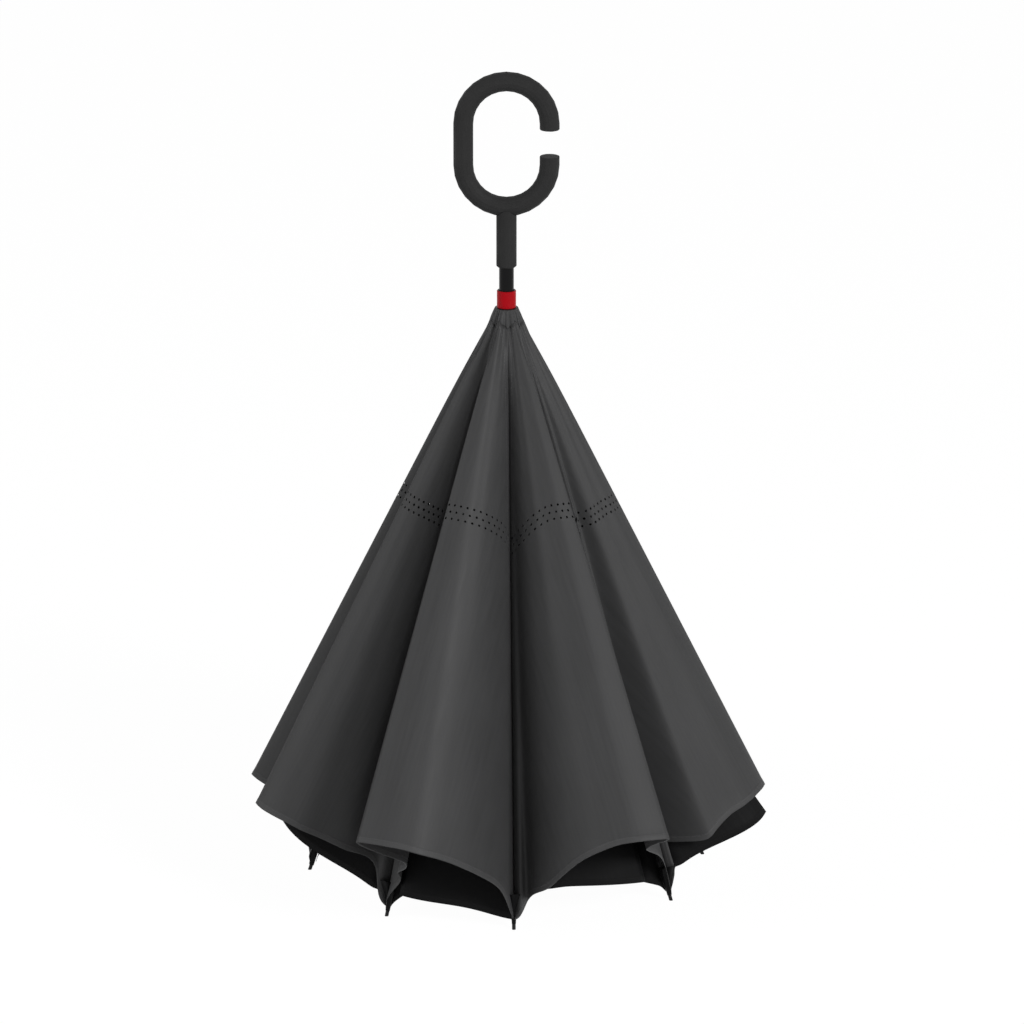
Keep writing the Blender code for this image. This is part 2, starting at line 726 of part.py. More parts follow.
def rib_point(number, distance, standoff):
    """A place beside a rib, as azimuth, reach and height: so far down it and outside its axis."""
    lean = rib_lean(number)
    along = distance * math.cos(lean)
    aside = distance * math.sin(lean)
    out = HINGE_REACH + along * math.sin(RIB_TILT) + standoff * math.cos(RIB_TILT)
    height = HINGE_Z - along * math.cos(RIB_TILT) + standoff * math.sin(RIB_TILT)
    return rib_azimuth(number) + math.atan2(aside, out), math.hypot(out, aside), height


def between(a, b, share):
    return a + (b - a) * share


def lining_ridge(panel, down):
    """The line of a panel's fold, from the neck to the hem, as azimuth, reach and height."""
    turn, reach, height = LINING_RIDGE_SHARES[panel]
    azimuth = rib_azimuth(panel + turn)
    neck_share = LINING_START / HEM_DISTANCE
    share = between(neck_share, 1, down)
    return (
        azimuth,
        between(NECK_RADIUS, RIDGE_REACH * reach, share),
        between(RING_TOP, RIDGE_HEIGHT * height, share),
    )


def smooth(share):
    share = min(max(share, 0), 1)
    return share * share * (3 - 2 * share)


def hem_rise(across, lift, width):
    """How far the hem has risen from the rib's tip to the ridge's corner, a share of the way across."""
    return across + (1 - across) * lift * (1 - math.exp(-across / width))


def fold_depth(panel, side, down, across):
    """How far the groove and the fold take half a panel inwards."""
    groove, fold = LINING_HANG_SHARES[panel][side][3:]
    depth = GROOVE_DEPTH * groove * down * math.sin(math.pi * min(across / GROOVE_WIDTH_SHARE, 1)) ** 2
    depth += FOLD_DEPTH * fold * math.sin(math.tau * across) * math.sin(math.pi * across)
    return depth * down


def hung(rib, ridge, across, side, belly, power, depth):
    """A place on half a panel between its rib and its ridge, each an azimuth, reach and height."""
    if belly:
        reach = between(rib[1], ridge[1], math.sin(across * math.pi / 2) ** power)
        return outward(between(rib[0], ridge[0], across)) * (reach - depth)
    start = outward(rib[0]) * rib[1]
    end = outward(ridge[0]) * ridge[1]
    out = (end - start).cross(Vector((0, 0, 1))).normalized() * (1 - 2 * side)
    return start.lerp(end, across) - out * depth


def lining_place(panel, side, down, across):
    """A place on half a panel of the lining: side 0 hangs on the panel's left rib, side 1 on its right."""
    belly, lift, width = LINING_HANG_SHARES[panel][side][:3]
    rib = rib_point(panel + side, between(LINING_START, HEM_DISTANCE, down), LINING_STANDOFF)
    ridge = lining_ridge(panel, down)
    rise = hem_rise(across, lift * smooth(down / FULL_LIFT_SHARE), width)
    depth = fold_depth(panel, side, down, across)
    point = hung(rib, ridge, across, side, belly, LINING_BULGE_POWER, depth)
    return point + Vector((0, 0, between(rib[2], ridge[2], rise)))


def lining_point(panel, side, down, across):
    """The same place, moved aside so that a seam's gap parts the two halves that meet there."""
    azimuth = between(rib_azimuth(panel + side), rib_azimuth(panel + LINING_RIDGE_SHARES[panel][0]), across)
    shift = (1 - 2 * side) * CLOTH_EDGE * (1 - 2 * across)
    return lining_place(panel, side, down, across) + sideways(azimuth) * shift


def sheet(name, place, across, down, finish, origin, parent, seam=False):
    """A thin closed shell over a grid whose points are given by place(across share, down step)."""
    shape = bmesh.new()
    bmesh.ops.create_grid(shape, x_segments=across, y_segments=down, size=0.5)
    for vertex in shape.verts:
        column, row = round((vertex.co.x + 0.5) * across), round((vertex.co.y + 0.5) * down)
        vertex.co = place(column, row) - Vector(origin)
    if seam:
        bmesh.ops.remove_doubles(shape, verts=shape.verts, dist=MERGE)
    mesh = bpy.data.meshes.new(name)
    shape.to_mesh(mesh)
    shape.free()
    obj = add(name, mesh, finish, origin, parent=parent)
    wall = obj.modifiers.new("Solidify", "SOLIDIFY")
    wall.thickness = CLOTH_THICKNESS
    wall.offset = 0
    return obj


def make_lining(panel, side, rib):
    sheet(
        f"lining_{panel + 1}_{'left' if side == 0 else 'right'}",
        lambda column, row: lining_point(panel, side, LINING_DOWN_SHARES[row], LINING_ACROSS_SHARES[column]),
        len(LINING_ACROSS_SHARES) - 1,
        len(LINING_DOWN_SHARES) - 1,
        LINING,
        rib_hinge(panel + side),
        rib,
    )


def make_neck(runner):
    """The gathered cuff of the lining, round the runner's hub."""
    half = NECK_HALF_COUNT

    def place(column, row):
        panel, step = divmod(column, 2 * half)
        panel %= RIB_COUNT
        side = 0 if step < half else 1
        across = step / half if side == 0 else 2 - step / half
        edge = lining_place(panel, side, 0, across)
        share = row / NECK_STEPS * (1 - 2 * CLEARANCE / (RING_TOP - edge.z))
        reach = edge.xy.length
        spot = edge * (between(NECK_RADIUS, reach, share) / reach)
        spot.z = between(RING_TOP, edge.z, share)
        return spot

    columns = RIB_COUNT * 2 * half
    sheet("lining_neck", place, columns, NECK_STEPS, LINING, (0, 0, 0), runner, seam=True)


def canopy_cone(height):
    """The inner cone of the black canopy, just outside the stretchers."""
    slope = (height - NOTCH_Z) * math.tan(STRETCHER_TILT)
    return max(CANOPY_SHOULDER, HINGE_REACH + slope + CANOPY_STANDOFF / math.cos(STRETCHER_TILT))


def canopy_rows():
    """How each row of the canopy is placed: up the inner cone, over its fold, and down inside the ribs."""
    rows = [("ring", CANOPY_INNER_EDGE, CANOPY_FLOOR), ("ring", CANOPY_SHOULDER, CANOPY_FLOOR)]
    for share in CANOPY_INNER_SHARES:
        height = between(CANOPY_FLOOR, CANOPY_FOLD_HEIGHT, share)
        rows.append(("ring", canopy_cone(height), height))
    inner = canopy_cone(CANOPY_FOLD_HEIGHT)
    outer = canopy_fold_reach()
    for step in range(1, CANOPY_FOLD_STEPS + 1):
        angle = math.pi * step / (CANOPY_FOLD_STEPS + 1)
        middle, half = (inner + outer) / 2, (outer - inner) / 2
        rows.append(("ring", middle - half * math.cos(angle), CANOPY_FOLD_HEIGHT + half * math.sin(angle)))
    rows += [("hang", share, 0) for share in CANOPY_OUTER_SHARES]
    return rows


def canopy_fold_reach():
    down = HINGE_Z - CANOPY_FOLD_HEIGHT
    return HINGE_REACH + down * math.tan(RIB_TILT) - CANOPY_STANDOFF / math.cos(RIB_TILT)


def canopy_point(panel, side, down, across):
    """A point on half a panel of the canopy, from its fold between the ribs to its hem."""
    turn, reach, height = CANOPY_RIDGE_SHARES[panel]
    rib = rib_point(panel + side, between(CANOPY_FOLD_DISTANCE, HEM_DISTANCE, down), -CANOPY_STANDOFF)
    ridge = (
        rib_azimuth(panel + turn),
        between(canopy_fold_reach(), CANOPY_REACH * reach, down),
        between(CANOPY_FOLD_HEIGHT, CANOPY_HEIGHT * height, down),
    )
    belly = LINING_HANG_SHARES[panel][side][0]
    depth = fold_depth(panel, side, between(CANOPY_FOLD_DISTANCE / HEM_DISTANCE, 1, down), across)
    depth = max(depth, 0) * smooth(down / CANOPY_OUTER_SHARES[1])
    point = hung(rib, ridge, across, side, belly or down == 0, CANOPY_BULGE_POWER, depth)
    rise = hem_rise(across, CANOPY_LIFT_SHARES[panel][side], CANOPY_LIFT_WIDTH_SHARE)
    return point + Vector((0, 0, between(rib[2], ridge[2], rise)))


def make_canopy(body):
    rows = canopy_rows()
    half = len(CANOPY_ACROSS_SHARES) - 1

    def place(column, row):
        panel, step = divmod(column, 2 * half)
        panel %= RIB_COUNT
        side = 0 if step < half else 1
        across = CANOPY_ACROSS_SHARES[step if side == 0 else 2 * half - step]
        kind, first, second = rows[row]
        if kind == "hang":
            return canopy_point(panel, side, first, across)
        fold = rib_point(panel + side, CANOPY_FOLD_DISTANCE, -CANOPY_STANDOFF)[0]
        azimuth = between(fold, rib_azimuth(panel + CANOPY_RIDGE_SHARES[panel][0]), across)
        return outward(azimuth) * first + Vector((0, 0, second))

    columns = RIB_COUNT * 2 * half
    sheet("outer_canopy", place, columns, len(rows) - 1, CANOPY, (0, 0, 0), body, seam=True)


def main():
    body = add_empty("umbrella", (0, 0, 0))
    make_shaft(body, make_handle(body))
    make_catch(body)
    make_notch(body)
    make_canopy(body)
    runner = add_empty("runner", (0, 0, HINGE_Z), parent=body)
    make_runner(runner)
    make_neck(runner)
    rod_mesh = rib_mesh()
    arm_mesh = stretcher_mesh()
    for number in range(RIB_COUNT):
        azimuth = rib_azimuth(number)
        hinge, turn = rib_hinge(number), rib_turn(number)
        rib = add(f"rib_{number + 1}", rod_mesh, FIBREGLASS, hinge, turn, runner)
        add(f"rib_tip_{number + 1}", tip_mesh(number), NYLON, hinge, turn, rib)
        foot = outward(azimuth) * HINGE_REACH + sideways(azimuth) * STRETCHER_SIDE_STEP
        foot.z = NOTCH_Z
        arm_turn = Euler((STRETCHER_TILT, stretcher_lean(number), azimuth), "YXZ")
        add(f"stretcher_{number + 1}", arm_mesh, FIBREGLASS, foot, arm_turn, body)
        make_lining(number, 0, rib)
        make_lining((number - 1) % RIB_COUNT, 1, rib)


if __name__ == "__main__":
    main()
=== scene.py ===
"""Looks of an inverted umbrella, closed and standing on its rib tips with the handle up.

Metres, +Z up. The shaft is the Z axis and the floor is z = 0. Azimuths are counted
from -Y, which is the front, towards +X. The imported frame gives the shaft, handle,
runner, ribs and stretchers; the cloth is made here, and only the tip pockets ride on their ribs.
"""

import math

import bmesh
import bpy
from bpy.props import FloatProperty, FloatVectorProperty, IntProperty, PointerProperty
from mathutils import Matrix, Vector, noise


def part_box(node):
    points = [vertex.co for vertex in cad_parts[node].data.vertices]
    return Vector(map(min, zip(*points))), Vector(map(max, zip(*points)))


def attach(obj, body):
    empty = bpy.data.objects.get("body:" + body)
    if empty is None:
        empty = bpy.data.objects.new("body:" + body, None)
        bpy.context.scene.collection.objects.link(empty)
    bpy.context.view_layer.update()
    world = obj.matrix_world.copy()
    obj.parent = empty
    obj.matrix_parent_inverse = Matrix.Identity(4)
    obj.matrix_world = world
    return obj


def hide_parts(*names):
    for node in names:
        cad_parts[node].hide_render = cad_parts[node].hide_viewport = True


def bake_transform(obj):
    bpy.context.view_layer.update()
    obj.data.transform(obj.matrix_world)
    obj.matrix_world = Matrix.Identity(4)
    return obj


bl_info = {
    "name": "Inverted umbrella",
    "version": (1, 0, 0),
    "blender": (4, 5, 0),
    "location": "View3D > Sidebar > Umbrella",
    "description": "Builds the cloth, finishes and studio of an inverted umbrella",
    "category": "Object",
}

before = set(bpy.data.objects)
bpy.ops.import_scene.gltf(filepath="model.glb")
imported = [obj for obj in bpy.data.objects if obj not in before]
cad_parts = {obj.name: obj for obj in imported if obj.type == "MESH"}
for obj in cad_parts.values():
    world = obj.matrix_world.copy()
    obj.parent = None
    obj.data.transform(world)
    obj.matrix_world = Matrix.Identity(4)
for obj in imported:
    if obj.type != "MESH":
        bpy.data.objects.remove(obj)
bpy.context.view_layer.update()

# Frame sizes, as the CAD part has them
RIB_COUNT = 8
PITCH = math.tau / RIB_COUNT
FIRST_RIB_AZIMUTH = math.radians(5)
RIB_TILT = math.radians(18.2)
RIB_LENGTH = 0.5865
RIB_LEAN = math.radians(1.6)
RIB_LEAN_SHARES = (-0.6, 1.0, 0.3, -0.4, 0.3, -0.3, 0.4, 0.75)
HINGE_REACH = 0.0108
HINGE_Z = RIB_LENGTH * math.cos(RIB_TILT)
TIP_SHOWN = 0.009
HEM_DISTANCE = RIB_LENGTH - TIP_SHOWN
PIVOT_DISTANCE = 0.25
STRETCHER_LENGTH = 0.27
STRETCHER_TILT = math.asin(PIVOT_DISTANCE * math.sin(RIB_TILT) / STRETCHER_LENGTH)
NOTCH_Z = sum(corner[2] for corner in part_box("notch_wire")) / 2
RING_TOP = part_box("lining_ring")[1][2]
RING_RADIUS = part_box("lining_ring")[1][0]

# The grey lining: its start down the rib and its standoff from the rib's axis, its radius at the
# neck, how its bellied halves swell, and the gathers round the hub
LINING_START = 0.012
LINING_STANDOFF = 0.0026
NECK_RADIUS = 0.0113
NECK_GAP = 0.0004
NECK_SWELL = 0.0003
LINING_SWELL_POWER = 0.9
HEM_LAYER = 0.0004
PLEAT_DEPTH = 0.0022
PLEAT_FADE = 0.10

# Each panel's fold: its share of the way from rib to rib, then how far out and how high its
# corner at the hem is, as shares of the two sizes first given
RIDGE_REACH = 0.298
RIDGE_HEIGHT = 0.1135
LINING_RIDGES = (
    (0.58, 1.00, 1.00),
    (0.62, 0.86, 0.87),
    (0.47, 0.90, 0.62),
    (0.40, 0.92, 0.88),
    (0.42, 0.93, 0.93),
    (0.49, 0.89, 0.55),
    (0.51, 0.915, 0.925),
    (0.25, 0.99, 0.98),
)

# The pockets on the ribs' tips: where they start and end down the rib, and their shape
POCKET_START = 0.553
POCKET_END = 0.5815
POCKET_NECK_RADIUS = 0.0022
POCKET_SWELL = 0.0068
POCKET_TAPER = 1.5
POCKET_GATHERS = 6

# The black canopy inside the ribs, and its folds, given as those of the lining
CANOPY_STANDOFF = -0.0034
WASHER_GAP = 0.0004
CANOPY_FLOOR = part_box("canopy_washer")[1][2] + WASHER_GAP
CANOPY_FOLD_DISTANCE = 0.275
CANOPY_SOFT_FOLD = 0.003
CANOPY_SWELL_POWER = 2.6
NARROW_SIDE_ROOM = 2.6
CANOPY_REACH = 0.262
CANOPY_HEIGHT = 0.075
CANOPY_RIDGES = (
    (0.85, 0.74, 0.385),
    (0.62, 0.985, 0.94),
    (0.47, 1.00, 0.93),
    (0.45, 0.96, 0.90),
    (0.46, 0.97, 0.95),
    (0.49, 1.00, 0.80),
    (0.51, 0.95, 1.22),
    (0.22, 0.78, 0.38),
)

# How the left and the right half of each panel hang: 1 bellied out or 0 straight from ridge
# to rib, how much the hem jumps up beside the rib, within what share of the half's width, and
# how much more it arches towards the ridge, then in metres the depths of the groove beside
# the rib and of the fold between rib and ridge, and last how far the vents slip down the ridge
LINING_HANGS = (
    ((1, 1.20, 0.53, -0.07, 0.028, 0.000, 0.00), (0, 0.30, 0.12, 0.00, 0.000, 0.024, 0.00)),
    ((1, 0.26, 0.03, 0.48, 0.048, 0.006, 0.02), (0, 0.35, 0.12, 0.00, 0.030, 0.056, 0.02)),
    ((0, 0.35, 0.12, 0.00, 0.022, 0.044, 0.00), (1, 0.40, 0.10, 0.00, 0.044, 0.020, 0.00)),
    ((0, 0.40, 0.12, 0.00, 0.024, 0.040, 0.00), (1, 0.40, 0.10, 0.00, 0.016, 0.008, 0.00)),
    ((1, 0.40, 0.10, 0.00, 0.051, 0.027, 0.00), (0, 0.40, 0.12, 0.00, 0.010, 0.032, 0.00)),
    ((0, 0.35, 0.12, 0.00, 0.026, 0.039, 0.00), (0, 0.40, 0.10, 0.00, 0.042, 0.020, 0.00)),
    ((0, 0.35, 0.12, 0.00, 0.020, 0.038, 0.00), (1, 0.45, 0.14, 0.17, 0.018, 0.008, 0.00)),
    ((0, 0.25, 0.12, 0.00, 0.012, 0.034, 0.00), (1, 0.20, 0.075, 0.92, 0.000, 0.000, 0.00)),
)
GROOVE_START = 0.03
GROOVE_WIDTH = 0.25
FULL_LIFT = 0.2
# The black canopy's hem: its jump beside the rib, the jump's width and the arch, as above
CANOPY_LIFTS = (
    ((1.60, 0.19, 0.20), (0.20, 0.10, 0.00)),
    ((0.00, 0.08, 0.05), (0.30, 0.10, 0.00)),
    ((0.30, 0.10, 0.00), (0.30, 0.10, 0.00)),
    ((0.30, 0.10, 0.00), (0.30, 0.10, 0.00)),
    ((0.30, 0.10, 0.00), (0.30, 0.10, 0.00)),
    ((0.30, 0.10, 0.00), (0.30, 0.10, 0.00)),
    ((0.30, 0.10, 0.00), (0.00, 0.33, -0.60)),
    ((0.50, 0.10, 0.00), (0.56, 0.43, -0.37)),
)

VENT_SIZE = 0.0019

# The black canopy's pieces are cut narrower than the real cloth, most of which hides in folds:
# this much fuller than the straight way from the rib to the fold
CANOPY_FULLNESS = 1.2
PETAL_TURN_SHARE = 0.12
STRETCHER_GAP = 0.0036
PETAL_LEAST_RADIUS = 0.0142
PETAL_PLEAT_CORE = 0.0125
PETAL_PLEAT_SHARE = 0.42

# The flat cut of a panel: an isosceles triangle whose sides run along its ribs
CUT_RIB = 0.584
CUT_HALF_WIDTH = 0.2235
HALF_ANGLE = math.asin(CUT_HALF_WIDTH / CUT_RIB)
PANEL_LENGTH = HEM_DISTANCE * math.cos(HALF_ANGLE)

# The seams and the weave
SEAM_INSET = 0.0042
STITCH_HALF_WIDTH = 0.00035
STITCH_PITCH = 0.0028
STITCH_SHARE = 0.72
WEAVE_RATE = 9000

# The camera and the lamps
CAMERA_PLACE = (0.0053, -6.8416, 2.4342)
CAMERA_TILT = 0.29457
CAMERA_LENS = 259.6
LAMP_TARGET = (0, 0, 0.35)
FLOOR_GLOW = 1.05
FLOOR_GLOW_SHARE = 0.93


def outward(azimuth):
    return Vector((math.sin(azimuth), -math.cos(azimuth), 0))


def between(a, b, share):
    return a + (b - a) * share


def half_name(panel, side):
    return f"{panel + 1}_{('left', 'right')[side]}"


def rib_azimuth(number):
    return FIRST_RIB_AZIMUTH + PITCH * number


def rib_place(number, distance, standoff=0.0):
    """A place beside a rib, as azimuth, reach and height: so far down it and outside its axis."""
    lean = RIB_LEAN * RIB_LEAN_SHARES[number % RIB_COUNT]
    along, aside = distance * math.cos(lean), distance * math.sin(lean)
    out = HINGE_REACH + along * math.sin(RIB_TILT) + standoff * math.cos(RIB_TILT)
    height = HINGE_Z - along * math.cos(RIB_TILT) + standoff * math.sin(RIB_TILT)
    return rib_azimuth(number) + math.atan2(aside, out), math.hypot(out, aside), height


def spot(place):
    azimuth, reach, height = place
    return outward(azimuth) * reach + Vector((0, 0, height))


def rib_axis(number, distance, standoff=0.0):
    return spot(rib_place(number, distance, standoff))


def smooth(share):
    share = min(max(share, 0.0), 1.0)
    return share * share * (3 - 2 * share)


class UmbrellaCloth(bpy.types.PropertyGroup):
    lining_colour: FloatVectorProperty(
        name="Lining", description="Colour of the grey lining", subtype="COLOR", default=(0.062, 0.062, 0.063)
    )
    canopy_colour: FloatVectorProperty(
        name="Canopy",
        description="Colour of the black canopy",
        subtype="COLOR",
        default=(0.006, 0.006, 0.0063),
    )
    thickness: FloatProperty(
        name="Thickness", description="Thickness of the cloth", unit="LENGTH", default=0.0004
    )
    hem: FloatProperty(name="Hem", description="Width of the folded hem", unit="LENGTH", default=0.006)
    wrinkle: FloatProperty(
        name="Folds", description="Depth of the soft folds at the hem", unit="LENGTH", default=0.0022
    )
    vent_share: FloatProperty(
        name="Vent band", description="Where the vents lie from neck to hem", subtype="FACTOR", default=0.372
    )
    vent_pitch: FloatProperty(
        name="Vent pitch", description="Distance between rows of vents", unit="LENGTH", default=0.0074
    )
    across: IntProperty(name="Columns", description="Columns of faces across half a panel", default=24)


class UmbrellaHandle(bpy.types.PropertyGroup):
    grip_colour: FloatVectorProperty(
        name="Grip",
        description="Colour of the rubber coating",
        subtype="COLOR",
        default=(0.028, 0.028, 0.028),
    )
    grain: FloatProperty(
        name="Grain", description="Size of the coating's grain", unit="LENGTH", default=0.0006
    )
    collar_colour: FloatVectorProperty(
        name="Collar",
        description="Colour of the runner's collar",
        subtype="COLOR",
        default=(0.47, 0.0, 0.006),
    )


class UmbrellaStudio(bpy.types.PropertyGroup):
    floor_size: FloatProperty(name="Floor", description="Width of the floor", unit="LENGTH", default=24.0)
    key_power: FloatProperty(name="Key", description="Power of the main lamp", unit="POWER", default=185.0)
    fill_power: FloatProperty(name="Fill", description="Power of the second lamp", unit="POWER", default=60.0)
    sky: FloatProperty(name="Sky", description="Strength of the even light all round", default=0.10)


class Nodes:
    """Builds a node tree, with each link given as an input's value."""

    def __init__(self, owner, output="Material Output"):
        owner.use_nodes = True
        self.owner = owner
        self.tree = owner.node_tree
        self.shader = self.tree.nodes.get("Principled BSDF")
        self.output = self.tree.nodes[output]

    def add(self, kind, inputs=None, **settings):
        node = self.tree.nodes.new(kind)
        for key, value in settings.items():
            setattr(node, key, value)
        for key, value in (inputs or {}).items():
            self.set(node, key, value)
        return node

    def set(self, node, key, value):
        if isinstance(value, bpy.types.NodeSocket):
            self.tree.links.new(value, node.inputs[key])
        else:
            node.inputs[key].default_value = value

    def math(self, operation, *values):
        node = self.add("ShaderNodeMath", operation=operation)
        for index, value in enumerate(values):
            self.set(node, index, value)
        return node.outputs[0]

    def vector(self, operation, *values):
        node = self.add("ShaderNodeVectorMath", operation=operation)
        for index, value in enumerate(values):
            self.set(node, index, value)
        return node.outputs[0]

    def noise(self, place, scale, detail):
        inputs = {"Vector": place, "Scale": scale, "Detail": detail}
        return self.add("ShaderNodeTexNoise", inputs).outputs["Fac"]

    def mix(self, share, first, second):
        node = self.add("ShaderNodeMix", data_type="RGBA")
        for socket, value in zip((node.inputs[0], node.inputs[6], node.inputs[7]), (share, first, second)):
            if isinstance(value, bpy.types.NodeSocket):
                self.tree.links.new(value, socket)
            else:
                socket.default_value = value
        return node.outputs[2]

    def ramp(self, value, low, high, first=0.0, second=1.0):
        inputs = {"Value": value, "From Min": low, "From Max": high, "To Min": first, "To Max": second}
        return self.add("ShaderNodeMapRange", inputs).outputs[0]

    def bump(self, height, distance, strength=1.0, normal=None):
        inputs = {"Height": height, "Distance": distance, "Strength": strength}
        if normal:
            inputs["Normal"] = normal
        return self.add("ShaderNodeBump", inputs).outputs[0]

    def place(self):
        return self.add("ShaderNodeTexCoord").outputs["Object"]

    def finish(self, **inputs):
        names = {"colour": "Base Color", "roughness": "Roughness", "normal": "Normal", "metallic": "Metallic"}
        for key, value in inputs.items():
            self.set(self.shader, names.get(key, key), value)
        return self.owner


def new_material(name):
    return Nodes(bpy.data.materials.new(name))


def shades(colour, spread):
    """A darker and a lighter tone round a colour."""
    return [tuple(channel * (1 + turn * spread) for channel in colour) + (1,) for turn in (-1, 1)]


def grip_material(colour, grain):
    """Soft-touch coating: fine grain, slight clouding, and a duller or shinier patch here and there."""
    nodes = new_material("grip_rubber")
    place = nodes.place()
    dark, light = shades(colour, 0.16)
    fine = nodes.noise(place, 1 / grain, 3)
    cloud = nodes.noise(place, 60, 4)
    tone = nodes.mix(nodes.ramp(fine, 0.35, 0.65), dark, light)
    nodes.shader.inputs["Specular IOR Level"].default_value = 0.15
    return nodes.finish(
        colour=tone,
        roughness=nodes.ramp(cloud, 0.3, 0.7, 0.62, 0.78),
        normal=nodes.bump(fine, 0.00012, 0.6),
    )


def rod_material(name, colour, roughness, streak, gloss):
    """A drawn or pultruded rod: long fine streaks and a slightly uneven gloss."""
    nodes = new_material(name)
    stretched = nodes.vector("MULTIPLY", nodes.place(), (1.0, 1.0, 0.04))
    lines = nodes.noise(stretched, streak, 3)
    dark, light = shades(colour, 0.25)
    nodes.shader.inputs["Specular IOR Level"].default_value = gloss
    return nodes.finish(
        colour=nodes.mix(lines, dark, light),
        roughness=nodes.ramp(lines, 0.2, 0.8, roughness * 0.8, roughness * 1.2),
        normal=nodes.bump(lines, 0.00003, 0.5),
    )


def moulded_material(name, colour, roughness, gloss):
    """An injection-moulded plastic: fine texture and faint flow clouding."""
    nodes = new_material(name)
    place = nodes.place()
    fine = nodes.noise(place, 2500, 2)
    cloud = nodes.noise(place, 120, 3)
    dark, light = shades(colour, 0.1)
    nodes.shader.inputs["Specular IOR Level"].default_value = gloss
    return nodes.finish(
        colour=nodes.mix(cloud, dark, light),
        roughness=nodes.ramp(cloud, 0.3, 0.7, roughness * 0.85, roughness * 1.15),
        normal=nodes.bump(fine, 0.00002, 0.5),
    )


def steel_material():
    nodes = new_material("spring_steel")
    place = nodes.place()
    lines = nodes.noise(nodes.vector("MULTIPLY", place, (1.0, 1.0, 12.0)), 900, 3)
    dark, light = shades((0.5, 0.5, 0.51), 0.12)
    return nodes.finish(
        colour=nodes.mix(lines, dark, light),
        roughness=nodes.ramp(lines, 0.2, 0.8, 0.22, 0.38),
        normal=nodes.bump(lines, 0.00001, 0.5),
        metallic=1.0,
    )


def cloth_material(name, colour, gloss, sheen, roughness, hem):
    """Woven polyester on a piece's own flat cut: weave, stitched seam and hem, and soft shading."""
    nodes = new_material(name)
    flat = nodes.add("ShaderNodeUVMap", uv_map="cut").outputs[0]
    parts = nodes.add("ShaderNodeSeparateXYZ", {0: flat})
    across = nodes.math("ABSOLUTE", parts.outputs[0])
    down = parts.outputs[1]
    from_hem = nodes.math("SUBTRACT", PANEL_LENGTH, down)
    from_seam = nodes.math(
        "SUBTRACT",
        nodes.math("MULTIPLY", down, math.sin(HALF_ANGLE)),
        nodes.math("MULTIPLY", across, math.cos(HALF_ANGLE)),
    )
    weave = nodes.math(
        "ADD",
        nodes.math("SINE", nodes.math("MULTIPLY", nodes.math("ADD", across, down), WEAVE_RATE)),
        nodes.math("SINE", nodes.math("MULTIPLY", nodes.math("SUBTRACT", across, down), WEAVE_RATE)),
    )
    slubs = nodes.noise(nodes.vector("MULTIPLY", flat, (1.0, 0.06, 1.0)), 260, 3)
    cloud = nodes.noise(flat, 9, 3)

    def stitches(distance, place, along):
        off_line = nodes.math("ABSOLUTE", nodes.math("SUBTRACT", distance, place))
        line = nodes.math("LESS_THAN", off_line, STITCH_HALF_WIDTH)
        step = nodes.math("FRACT", nodes.math("DIVIDE", along, STITCH_PITCH))
        return nodes.math("MULTIPLY", line, nodes.math("LESS_THAN", step, STITCH_SHARE))

    thread = nodes.math(
        "MAXIMUM", stitches(from_hem, hem * 0.8, across), stitches(from_seam, SEAM_INSET, down)
    )
    band = nodes.math("LESS_THAN", from_hem, hem)
    dark, light = shades(colour, 0.09)
    tone = nodes.mix(nodes.ramp(nodes.math("ADD", slubs, cloud), 0.7, 1.3), dark, light)
    edge = tuple(min(1.0, channel * 1.5 + 0.004) for channel in colour) + (1,)
    tone = nodes.mix(nodes.math("MULTIPLY", band, 0.35), tone, edge)
    tone = nodes.mix(nodes.math("MULTIPLY", thread, 0.8), tone, edge)
    puckers = nodes.noise(nodes.vector("MULTIPLY", flat, (0.35, 1.0, 1.0)), 110, 2)
    near_seam = nodes.ramp(from_seam, 0.0, 0.02, 1.0, 0.0)
    relief = nodes.bump(nodes.math("MULTIPLY", puckers, near_seam), 0.0012, 0.7)
    relief = nodes.bump(nodes.math("ADD", thread, band), 0.00035, 0.8, relief)
    relief = nodes.bump(weave, 0.00002, 0.35, relief)
    material = nodes.finish(
        colour=tone,
        roughness=nodes.ramp(slubs, 0.3, 0.7, roughness - 0.05, roughness + 0.05),
        normal=relief,
    )
    nodes.shader.inputs["Specular IOR Level"].default_value = gloss
    nodes.shader.inputs["Sheen Weight"].default_value = sheen
    nodes.shader.inputs["Sheen Roughness"].default_value = 0.45
    nodes.shader.inputs["Sheen Tint"].default_value = (1, 1, 1, 1)
    return material


def material(name, make):
    """The material of that name, made at its first use."""
    return bpy.data.materials.get(name) or make()


def cloth_finish(kind):
    cloth = bpy.context.scene.umbrella_cloth
    if kind == "lining":
        return material(
            "grey_lining",
            lambda: cloth_material("grey_lining", cloth.lining_colour, 0.14, 0.02, 0.45, cloth.hem),
        )
    return material(
        "black_canopy",
        lambda: cloth_material("black_canopy", cloth.canopy_colour, 0.08, 0.0, 0.55, cloth.hem),
    )


def finish_nodes(names, finish):
    """Gives CAD nodes a finish of their own."""
    for name in names:
        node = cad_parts[name]
        node.data.materials.clear()
        node.data.materials.append(finish)


def new_piece(name, shape, finish):
    """A finished bmesh as a piece at the origin."""
    mesh = bpy.data.meshes.new(name)
    shape.to_mesh(mesh)
    shape.free()
    mesh.materials.append(finish)
    mesh.shade_smooth()
    piece = bpy.data.objects.new(name, mesh)
    bpy.context.scene.collection.objects.link(piece)
    return piece


